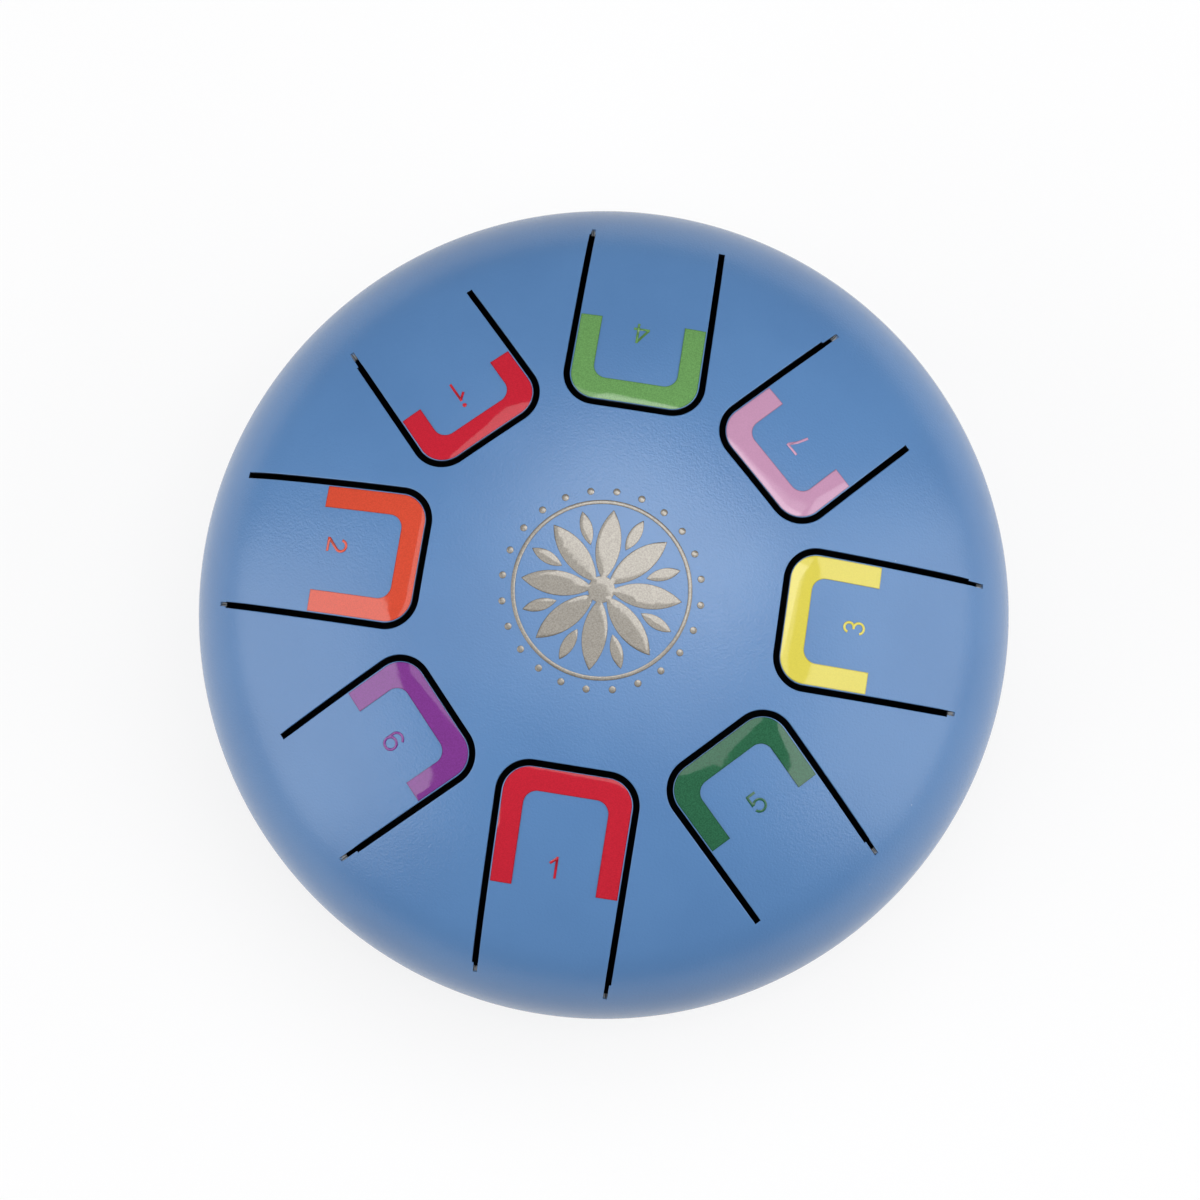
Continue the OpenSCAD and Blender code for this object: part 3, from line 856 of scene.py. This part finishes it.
def buildUpperShell():
    plan = Plan(Plate())
    outlines = [cutSlot(plan, note) for note in notes]

    def ownersOf(middles):
        owners = np.full(len(middles), "shell", object)
        for note, (hole, tongue) in zip(notes, outlines):
            owners[isInside(middles, hole)] = None
            owners[isInside(middles, tongue)] = "tongue_" + note["name"]
        return owners
    return closeShell(plan, "shell", drum, ownersOf)


upperPlate = buildUpperShell()
upperSkin = pressPiece("upperSkin", upperPlate, skinFinishes, "shell", keep=skinNotes)
print("upper shell pressed:", len(upperSkin.data.polygons), "faces")
tongueSkins = {n["name"]: pressPiece("tongueSkin_" + n["name"], upperPlate, skinFinishes, "tongue_" + n["name"],
                                     keep=skinNotes) for n in notes}
print("tongues pressed:", sum(len(t.data.polygons) for t in tongueSkins.values()), "faces")

lower = {"portRadius": 15.0, "portRound": 0.35, "portPoints": 96, "footRing": 40.0, "footHole": 3.05,
         "holeRound": 0.1, "holePoints": 40, "levels": (0.5, 1.0), "meshPitch": 3.0, "meshClear": 1.2}


def buildLowerShell():
    plan, holes = Plan(Plate()), []
    circles = [((0.0, 0.0), lower["portRadius"], lower["portRound"], lower["portPoints"])]
    circles += [(polar(lower["footRing"], math.radians(90 + 120 * i)), lower["footHole"], lower["holeRound"],
                 lower["holePoints"]) for i in range(3)]
    profile = edgeProfile(0.0, sheet, lower["levels"])
    for middle, radius, rounding, count in circles:
        outline = circleOutline(radius, middle, count, inward=True)
        first = plan.loop(plan.plate.columns(outline, profile, [rounding] * count), "all")
        holes.append(plan.points[first:])
    return closeShell(plan, "all", lower, lambda middles: np.where(isInside(middles, *holes), None, "all"))


lowerSkin = pressPiece("lowerSkin", buildLowerShell(), skinFinishes, flip=True)
print("lower shell pressed:", len(lowerSkin.data.polygons), "faces")

weld = {"crest": 74.985, "edge": 74.93, "halfWidth": 0.64, "root": 74.42, "ripple": 0.03, "ripples": 290,
        "unevenness": 0.18, "segments": 1160}


def buildWeld():
    # a ground bead that keeps a little of its ripple
    segments, crest, half = weld["segments"], weld["crest"], weld["halfWidth"]
    random = np.random.default_rng(5)
    drift = np.cumsum(random.normal(0, weld["unevenness"], segments))
    drift -= np.linspace(0, drift[-1], segments)
    rows, faces = [], []
    for i in range(segments):
        a = 2 * math.pi * i / segments
        low = weld["ripple"] * (0.5 + 0.5 * math.cos(a * weld["ripples"] + drift[i]))
        section = [(weld["edge"], half), (crest - low * 0.5, half * 0.5), (crest - low, 0.0),
                   (crest - low * 0.5, -half * 0.5), (weld["edge"], -half), (weld["root"], 0.0)]
        rows += [(*polar(r * mm, a), (rimHeight + h) * mm) for r, h in section]
        count = len(section)
        here, there = i * count, (i + 1) % segments * count
        for k in range(count):
            m = (k + 1) % count
            faces.append((here + k, here + m, there + m, there + k))
    return newObject("weldBead", newMesh("weldBead", rows, faces, weldPaint, smooth=True))


weldBead = buildWeld()
print("weld made")


# The films on top of the paint
def edgeDistance(points, outlines):
    # distance of each point to the nearest outline, and the direction away from it
    points = np.asarray(points)
    best = np.full(len(points), 1e9)
    ways = np.zeros((len(points), 2))
    for outline in outlines:
        start = np.array(outline)
        run = np.roll(start, -1, 0) - start
        square = np.maximum((run ** 2).sum(1), 1e-12)
        toPoint = points[:, None] - start[None]
        share = np.clip((toPoint * run[None]).sum(2) / square[None], 0, 1)
        away = toPoint - share[..., None] * run[None]
        distance = np.linalg.norm(away, axis=2)
        nearest = distance.argmin(1)
        pick = np.arange(len(points))
        closer = distance[pick, nearest] < best
        best[closer] = distance[pick, nearest][closer]
        ways[closer] = away[pick, nearest][closer]
    return best, ways / np.maximum(best, 1e-9)[:, None]


def fillPlan(plate, loops, place, rounding, drop, width, brink=None):
    # one film from its closed outlines; its top falls by drop within width of its edge, or of the brink if given
    brinks = brink and [[place(x, y) for x, y in brink]]
    profile = edgeProfile(-film["lift"] + drop, -film["under"], (1.0,), math.atan(2 * drop / width))
    plan, closed, seeds = Plan(plate), [], []
    for outline in loops:
        columns = plate.columns(outline, profile, [rounding] * len(outline), place)
        if brink:
            far, _ = edgeDistance([plate.rows[column[0]][:2] for column in columns], brinks)
            for column, gap in zip(columns, far):
                share = max(0.0, 1 - gap / width)
                for level, index in enumerate(column[:-1]):
                    row = list(plate.rows[index])
                    row[2] -= drop * (1 - share ** 2)
                    if level == 0:
                        row[3] = math.atan(2 * drop * share / width)
                    plate.rows[index] = tuple(row)
        first = plan.loop(columns, "all")
        closed.append(plan.points[first:])
        ring = np.array(closed[-1])
        inward = leftOf(ring)
        for row in film["rows"]:
            seeds += [(spot, row * width * film["rowClear"]) for spot in ring + inward * row * width]
    low, high = np.min(plan.points, axis=0), np.max(plan.points, axis=0)
    seeds += [(np.array((x, y)), width * film["innerClear"]) for x in np.arange(low[0], high[0], pitch["filmInside"])
              for y in np.arange(low[1], high[1], pitch["filmInside"])]
    spots, least = (np.array(column) for column in zip(*seeds))
    distance, ways = edgeDistance(spots, closed)
    fall, ways = edgeDistance(spots, brinks) if brink else (distance, ways)
    taken = np.zeros((0, 2))
    for i in np.flatnonzero(isInside(spots, *closed) & (distance > least)):
        if len(taken) and np.min(((taken - spots[i]) ** 2).sum(1)) < (film["leastGap"] * width) ** 2:
            continue
        taken = np.vstack([taken, spots[i]])
        share = max(0.0, 1 - fall[i] / width)
        top = plate.point(*spots[i], -film["lift"] + drop * share ** 2, math.atan(2 * drop * share / width), ways[i])
        plan.add(spots[i], top, plate.point(*spots[i], -film["under"], math.pi))
    plan.fill(lambda middles: np.where(isInside(middles, *closed), "all", None), outer)
    return plate


def bandOutline(note, onlySlot=False):
    half = (slotCut["span"] - slotCut["width"]) / 2 - film["sideGap"]
    corner = slotCut["corner"] - slotCut["width"] / 2 - film["sideGap"]
    start, end = film["start"], noteSizes(note)["length"] * note["band"]
    pen = Pen(start, 0.0).line(start, corner - half)
    pen.arc(start + corner, corner - half, corner, 180, 270).line(end, -half)
    if onlySlot:
        far = end + film["behind"]
        pen.line(far, -half, pitch["far"]).line(far, half, pitch["far"])
    else:
        tip, side, small = start + film["tipWidth"], half - film["legWidth"], film["innerCorner"]
        pen.line(end, -side, pitch["filmEnd"]).line(tip + small, -side)
        pen.arc(tip + small, small - side, small, 270, 180, pitch["smallBend"])
        pen.line(tip, side - small)
        pen.arc(tip + small, side - small, small, 180, 90, pitch["smallBend"])
        pen.line(end, side)
    pen.line(end, half, pitch["filmEnd"]).line(start + corner, half)
    return pen.arc(start + corner, half - corner, corner, 90, 180).line(start, 0.0).closed()


# Strokes of the numbers in shares of their height: straight ones by their ends, bows by middle, radius and angles
strokes = {
    "1": [((0.03, -0.5), (0.03, 0.5)), ((0.05, 0.45), (-0.27, 0.165))],
    "2": [((0, 0.19), 0.25, -42, 175), ((0.2, 0.05), (-0.29, -0.42)), ((-0.35, -0.435), (0.3, -0.435))],
    "3": [((-0.02, 0.255), 0.215, -90, 168), ((-0.02, -0.2), 0.24, -168, 90), ((-0.08, 0.04), (0, 0.04))],
    "4": [((0.16, -0.5), (0.16, 0.5)), ((0.16, 0.45), (-0.32, -0.21)), ((-0.36, -0.22), (0.37, -0.22))],
    "5": [((-0.3, 0.44), (0.15, 0.44)), ((-0.27, 0.47), (-0.27, -0.05)), ((0, -0.16), 0.275, -162, 150)],
    "6": [((0.02, -0.17), 0.28, 0, 360), ((0.03, 0.165), 0.29, 30, 180), ((-0.26, 0.18), (-0.26, -0.18))],
    "7": [((-0.33, 0.435), (0.33, 0.435)), ((0.3, 0.44), (0.08, 0)), ((0.088, 0.02), (-0.05, -0.5))],
    "dot": [((0.03, digit["dotRise"]), digit["dotSize"] / 2, 0, 360, digit["dotSize"])],
}


def strokeOutline(stroke, height, width):
    if len(stroke) == 2:
        a, b = (np.array(p) * height for p in stroke)
        along = (b - a) / np.linalg.norm(b - a)
        side = np.array([-along[1], along[0]]) * width / 2
        return [tuple(a - side), tuple(b - side), tuple(b + side), tuple(a + side)]
    middle, radius, first, last = stroke[:4]
    width = stroke[4] * height if len(stroke) > 4 else width
    middle = np.array(middle) * height
    count = max(8, int(abs(last - first) / digit["bowStep"]))
    angles = np.radians(np.linspace(first, last, count + 1))
    ray = np.stack([np.cos(angles), np.sin(angles)], 1)
    far = middle + ray * (radius * height + width / 2)
    near = middle + ray * (radius * height - width / 2)
    return [tuple(p) for p in far] + [tuple(p) for p in near[::-1]]


def thinOut(outline, gap):
    # of two points closer than the gap, the one where the outline turns less goes
    def turnAt(i):
        a, b, c = (Vector(outline[(i + k) % len(outline)]) for k in (-1, 0, 1))
        return abs((b - a).angle_signed(c - b, 0.0))
    i = 0
    while i < len(outline) and len(outline) > 3:
        j = (i + 1) % len(outline)
        if math.dist(outline[i], outline[j]) < gap:
            outline.pop(i if turnAt(i) < turnAt(j) else j)
            i = max(0, i - 2)
        else:
            i += 1
    return outline


def joinShapes(shapes):
    # outlines round the union of several closed shapes
    points, faces = [], []
    for shape in shapes:
        faces.append(list(range(len(points), len(points) + len(shape))))
        points += [Vector(p) for p in shape]
    corners, _, triangles, _, _, source = delaunay_2d_cdt(points, [], faces, 0, 1e-5, True)
    steps = set()
    for triangle, shapesThere in zip(triangles, source):
        if not shapesThere:
            continue
        a, b, c = (corners[i] for i in triangle)
        ring = triangle if (b - a).cross(c - a) > 0 else list(reversed(triangle))
        steps |= {(ring[i], ring[(i + 1) % 3]) for i in range(3)}
    follow = {}
    for a, b in steps:
        if (b, a) not in steps:
            follow.setdefault(a, []).append(b)
    outlines = []
    while follow:
        start = min(follow)
        loop, at = [start], follow[start].pop()
        while at != start:
            loop.append(at)
            at = follow[at].pop()
        follow = {a: b for a, b in follow.items() if b}
        outline = thinOut([tuple(corners[i]) for i in loop], pitch["joined"])
        if len(outline) > 2:
            outlines.append(outline)
    return outlines


def buildNumber(note):
    place = noteFrame(note)
    keys = [note["name"][-1]] + (["dot"] if note["name"] == "high_1" else [])
    shapes = [strokeOutline(s, digit["height"], digit["stroke"]) for key in keys for s in strokes[key]]
    middle = film["start"] + film["tipWidth"] + digit["stroke"] + noteSizes(note)["length"] * note["number"] \
        + (digit["dotRise"] + digit["dotSize"]) * digit["height"]
    side = note["side"] * digit["height"]

    def onNote(x, y, onlyTurn=False):
        return place(-y, x, True) if onlyTurn else place(middle - y, x + side)
    return fillPlan(Plate(), joinShapes(shapes), onNote, digit["edgeRound"], digit["crownDrop"], digit["crownWidth"])


bandFilms, numberFilms = {}, {}
for note in notes:
    name, material = note["name"], [films[note["film"]]]
    plate = fillPlan(Plate(), [bandOutline(note)], noteFrame(note), film["edgeRound"], film["crownDrop"],
                     film["crownWidth"], bandOutline(note, onlySlot=True))
    bandFilms[name] = pressPiece("bandFilm_" + name, plate, material, keep=("rim",))
    numberFilms[name] = pressPiece("numberFilm_" + name, buildNumber(note), material, keep=("rim",))
print("films pressed")

# crowns are how far the foil's top falls and over which width
rosette = {"radius": 17.5, "petals": 8, "longPetal": (0.08, 0.78, 0.12), "shortPetal": (0.44, 0.78, 0.06),
           "hub": 0.13, "ring": (0.83, 0.87), "dots": 24, "dotAt": 0.96, "dotRadius": 0.035, "dotPoints": 20,
           "edgeRound": 0.03, "crown": (0.1, 0.9), "ringCrown": (0.05, 0.33), "dotCrown": (0.09, 0.55)}


def petalOutline(start, end, half, turn):
    # a leaf between two arcs, along a turned ray
    start, end, half = (v * rosette["radius"] for v in (start, end, half))
    run = (end - start) / 2
    side = (run ** 2 + half ** 2) / (2 * half)
    reach = math.degrees(math.asin(run / side))
    pen = Pen(start, 0.0)
    pen.arc(start + run, side - half, side, 270 - reach, 270 + reach, pitch["petal"])
    pen.arc(start + run, half - side, side, 90 - reach, 90 + reach, pitch["petal"])
    return [turned(x, y, math.radians(turn)) for x, y in pen.closed()]


def buildRosette():
    # the hub, long petals and ring stay whole, the rest is repeated round the axis
    r, petals = rosette["radius"], rosette["petals"]
    core, sector = Plate(), Plate()
    long = [petalOutline(*rosette["longPetal"], i * 360 / petals) for i in range(petals)]
    ring = [circleOutline(rosette["ring"][1] * r), circleOutline(rosette["ring"][0] * r, inward=True)]
    dots = [circleOutline(rosette["dotRadius"] * r, polar(rosette["dotAt"] * r, 2 * math.pi * i / rosette["dots"]),
                          rosette["dotPoints"]) for i in range(rosette["dots"] // petals)]
    for plate, shapes, crown in ((core, joinShapes([circleOutline(rosette["hub"] * r)] + long), "crown"),
                                 (core, ring, "ringCrown"),
                                 (sector, [petalOutline(*rosette["shortPetal"], 180 / petals)], "crown"),
                                 (sector, dots, "dotCrown")):
        fillPlan(plate, shapes, None, rosette["edgeRound"], *rosette[crown])
    coreObject = newObject("rosetteCore", core.mesh("rosetteCore"))
    piece = newObject("foilRosette", sector.mesh("foilRosette"))
    runTree(piece, ringTree, {"Copies": petals, "Core": coreObject, "Material 0": greyFoil})
    bpy.data.objects.remove(coreObject)
    return press(piece, [greyFoil], keep=("rim",))


foilRosette = buildRosette()
print("rosette pressed")

foot = {"ring": 40.0, "bottom": 6.0, "top": 7.0, "bevel": 0.8, "dimple": 2.2, "dimpleDepth": 0.6, "neck": 3.0,
        "barb": 4.3, "barbHeight": 3.2, "gap": 0.02, "sideRings": 8, "segments": 64}


def buildFeet():
    # one turned foot under the front of the ring, then three of them
    bottom, bevel, neck, barb, dimple, sink, gap, rings, count = (foot[k] for k in (
        "bottom", "bevel", "neck", "barb", "dimple", "dimpleDepth", "gap", "sideRings", "segments"))

    def spot(radius, a):
        x, y = polar(radius, a)
        return foot["ring"] + x, y

    def seat(radius, a):
        return 2 * rimHeight - domeHeight(*spot(radius, a))

    def side(share, a):
        # the side widens up to the shell, whose height differs round the foot
        z = bevel + (seat(foot["top"], a) - gap - bevel) * share
        return (*spot(bottom + slope * (z - bevel), a), z)

    level = seat(0.0, 0.0)
    slope = (foot["top"] - bottom) / (level - bevel)
    top, tip = level + sheet, level + sheet + foot["barbHeight"]
    # the turned outline below and above the side, as radius and height
    below = [(dimple * 0.6, sink), (dimple, sink * 0.5), (dimple * 1.15, 0.0), (bottom - bevel, 0.0),
             (bottom - bevel * 0.35, bevel * 0.2), (bottom - bevel * 0.08, bevel * 0.6), (bottom, bevel)]
    above = [(neck, top - 0.05), (barb - 0.15, top + 0.05), (barb, top + 0.5), (barb * 0.93, top + 1.4),
             (neck, tip - 0.3), (neck - 0.4, tip)]
    angles = [2 * math.pi * i / count for i in range(count)]
    rows = [(*spot(0.0, 0.0), sink)] + [(*spot(r, a), z) for r, z in below for a in angles]
    rows += [side((i + 1) / rings, a) for i in range(rings) for a in angles]
    rows += [(*spot(r, a), seat(r, a) + gap) for r in (foot["top"] - 0.4, neck) for a in angles]
    rows += [(*spot(r, a), z) for r, z in above for a in angles] + [(*spot(0.0, 0.0), tip)]
    last = len(rows) - 1
    pairs = [(i, (i + 1) % count) for i in range(count)]
    faces = [(0, 1 + j, 1 + i) for i, j in pairs]
    for k in range(1, last - count, count):
        faces += [(k + i, k + j, k + count + j, k + count + i) for i, j in pairs]
    faces += [(last - count + i, last - count + j, last) for i, j in pairs]
    mesh = newMesh("rubberFeet", [[v * mm for v in row] for row in rows], faces, smooth=True)
    mesh.transform(Matrix.Rotation(math.pi / 2, 4, "Z"))
    return runTree(newObject("rubberFeet", mesh), ringTree, {"Copies": 3, "Material 0": blackRubber})


rubberFeet = buildFeet()
print("feet made")

# The drum's pieces follow its body, and every piece hides the CAD parts it stands for
for piece, nodes, slotName in ((upperSkin, ["upper_shell"], "blue_paint"), (lowerSkin, ["lower_shell"], "blue_paint"),
                               (weldBead, ["seam_weld"], "blue_paint"), (foilRosette, ["centre_rosette"], "grey_foil"),
                               (rubberFeet, ["foot_1", "foot_2", "foot_3"], "black_rubber")):
    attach(piece, "drum")
    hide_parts(*nodes)
for note in notes:
    sizes, place, name = noteSizes(note), noteFrame(note), note["name"]
    filmSlot = filmColors[note["film"]][2]
    ends = []
    for u in (sizes["root"], sizes["root"] * slotCut["bendEnd"]):
        x, y = place(u, 0.0)
        ends.append((x * mm, y * mm, domeHeight(x, y) * mm))
    for piece, node, slotName in ((tongueSkins[name], "tongue_", "blue_paint"),
                                  (bandFilms[name], "band_", filmSlot),
                                  (numberFilms[name], "number_", filmSlot)):
        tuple(ends[0])
        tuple(ends[1])
        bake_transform(piece)
        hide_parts(node + name)

# Floor, light and camera
# underWhite, clearFrom and clearTo set the painted shadow on the floor round the drum
stage = {"floorColor": (236, 236, 237), "grainColor": (228, 228, 230), "bounceColor": (168, 168, 170),
         "floorWhite": 0.78, "underWhite": 0.15, "clearFrom": 0.052, "clearTo": 0.086, "worldLevel": 0.06,
         "backdrop": 1.0, "reach": 3.0, "lampHeight": 0.05, "grainSize": 2.0}
white = (1.0, 1.0, 1.0, 1.0)
# azimuth and elevation say where a lamp stands, half its half angles as seen from the drum
lampKeys = ("name", "azimuth", "elevation", "distance", "half", "level")
lamps = [dict(zip(lampKeys, row)) for row in (
    ("topBox", 80, 83, 0.9, (31, 27), 1.5),
    ("hotBox", 62, 71, 0.8, (22, 14), 2.6),
    ("rightBox", 0, 28, 0.8, (28, 23), 2.25),
    ("leftBox", 202, 28, 0.8, (27, 23), 2.45),
)]


def seenRays(graph):
    # 1 where the camera, a gloss or a clear piece looks at the floor, 0 for the light that it throws back
    path = graph.add("ShaderNodeLightPath", output="Is Camera Ray")
    outputs = path.socket.node.outputs
    glossy = graph.math("MAXIMUM", path, Wire(graph, outputs["Is Glossy Ray"]))
    return graph.math("MAXIMUM", glossy, Wire(graph, outputs["Is Transmission Ray"]))


def floorSurface(graph, place):
    grain = graph.noise(place, stage["grainSize"], 3.0)
    pale = graph.mix(grain * 0.1, stage["floorColor"], stage["grainColor"])
    return {"Base Color": graph.mix(seenRays(graph), stage["bounceColor"], pale), "Roughness": 0.75,
            "Specular IOR Level": 0.2}


def makeFloor():
    material = newMaterial("paleFloor", floorSurface)
    graph, nodes = Graph(material.node_tree), material.node_tree.nodes
    shader = next(n for n in nodes if n.type == "BSDF_PRINCIPLED")
    output = next(n for n in nodes if n.type == "OUTPUT_MATERIAL")
    glow = graph.add("ShaderNodeEmission", {"Color": white, "Strength": stage["backdrop"]})
    # painted shadow: the floor's white glow is turned down under the drum and fades back in just beyond its rim
    place = graph.add("ShaderNodeTexCoord", output="Object")
    clear = graph.vector("LENGTH", place, output="Value").rise(stage["clearFrom"], stage["clearTo"])
    share = seenRays(graph) * (stage["underWhite"] + clear * (stage["floorWhite"] - stage["underWhite"]))
    both = graph.add("ShaderNodeMixShader", {0: share, 1: Wire(graph, shader.outputs[0]), 2: glow})
    graph.tree.links.new(both.socket, output.inputs["Surface"])
    reach = stage["reach"]
    corners = [(-reach, -reach, 0), (reach, -reach, 0), (reach, reach, 0), (-reach, reach, 0)]
    newObject("floor", newMesh("floor", corners, [(0, 1, 2, 3)], material))


def makeWorld():
    scene.world = bpy.data.worlds.new("paleRoom")
    scene.world.use_nodes = True
    scene.world.node_tree.nodes.clear()
    graph = Graph(scene.world.node_tree)
    camera = graph.add("ShaderNodeLightPath", output="Is Camera Ray")
    level = stage["worldLevel"] + camera * (1.0 - stage["worldLevel"])
    sky = graph.add("ShaderNodeBackground", {"Color": white, "Strength": level})
    graph.add("ShaderNodeOutputWorld", {"Surface": sky})


def makeLamp(lamp):
    light = bpy.data.lights.new(lamp["name"], "AREA")
    light.shape = "RECTANGLE"
    light.size, light.size_y = (2 * lamp["distance"] * math.tan(math.radians(h)) for h in lamp["half"])
    light.energy = lamp["level"] * math.pi * light.size * light.size_y  # level is the radiance of its face
    elevation = math.radians(lamp["elevation"])
    aim = Vector((*polar(math.cos(elevation), math.radians(lamp["azimuth"])), math.sin(elevation)))
    holder = newObject(lamp["name"], light)
    holder.location = aim * lamp["distance"] + Vector((0, 0, stage["lampHeight"]))
    holder.rotation_euler = aim.to_track_quat("Z", "Y").to_euler()


makeFloor()
makeWorld()
for lamp in lamps:
    makeLamp(lamp)

view = {"lookAt": (-0.610, 1.873, 0.0), "distance": 372.82, "back": (0.00922, -0.09305, 0.99562), "lens": 59.92,
        "turn": 8.835}


def makeCamera():
    # found from the photograph, with its image taken as 1200 by 1200
    back = Vector(view["back"]).normalized()
    right = Vector((0, 1, 0)).cross(back).normalized()
    up = back.cross(right)
    at = Vector(view["lookAt"]) + back * view["distance"]
    turn = Matrix.Rotation(math.radians(view["turn"]), 4, "Z")
    axes = Matrix((right, up, back)).transposed().to_4x4()
    place = Matrix.Translation(at * mm)
    lens = bpy.data.cameras.new("photoCamera")
    lens.lens, lens.sensor_width, lens.sensor_fit = view["lens"], 36.0, "HORIZONTAL"
    lens.clip_start, lens.clip_end = 0.01, 20.0
    camera = newObject("photoCamera", lens)
    camera.matrix_world = Matrix.Translation((0, 0, rimHeight * mm)) @ turn @ place @ axes
    scene.camera = camera


makeCamera()
scene.view_settings.view_transform = "Standard"
print("stage, lamps and camera set")
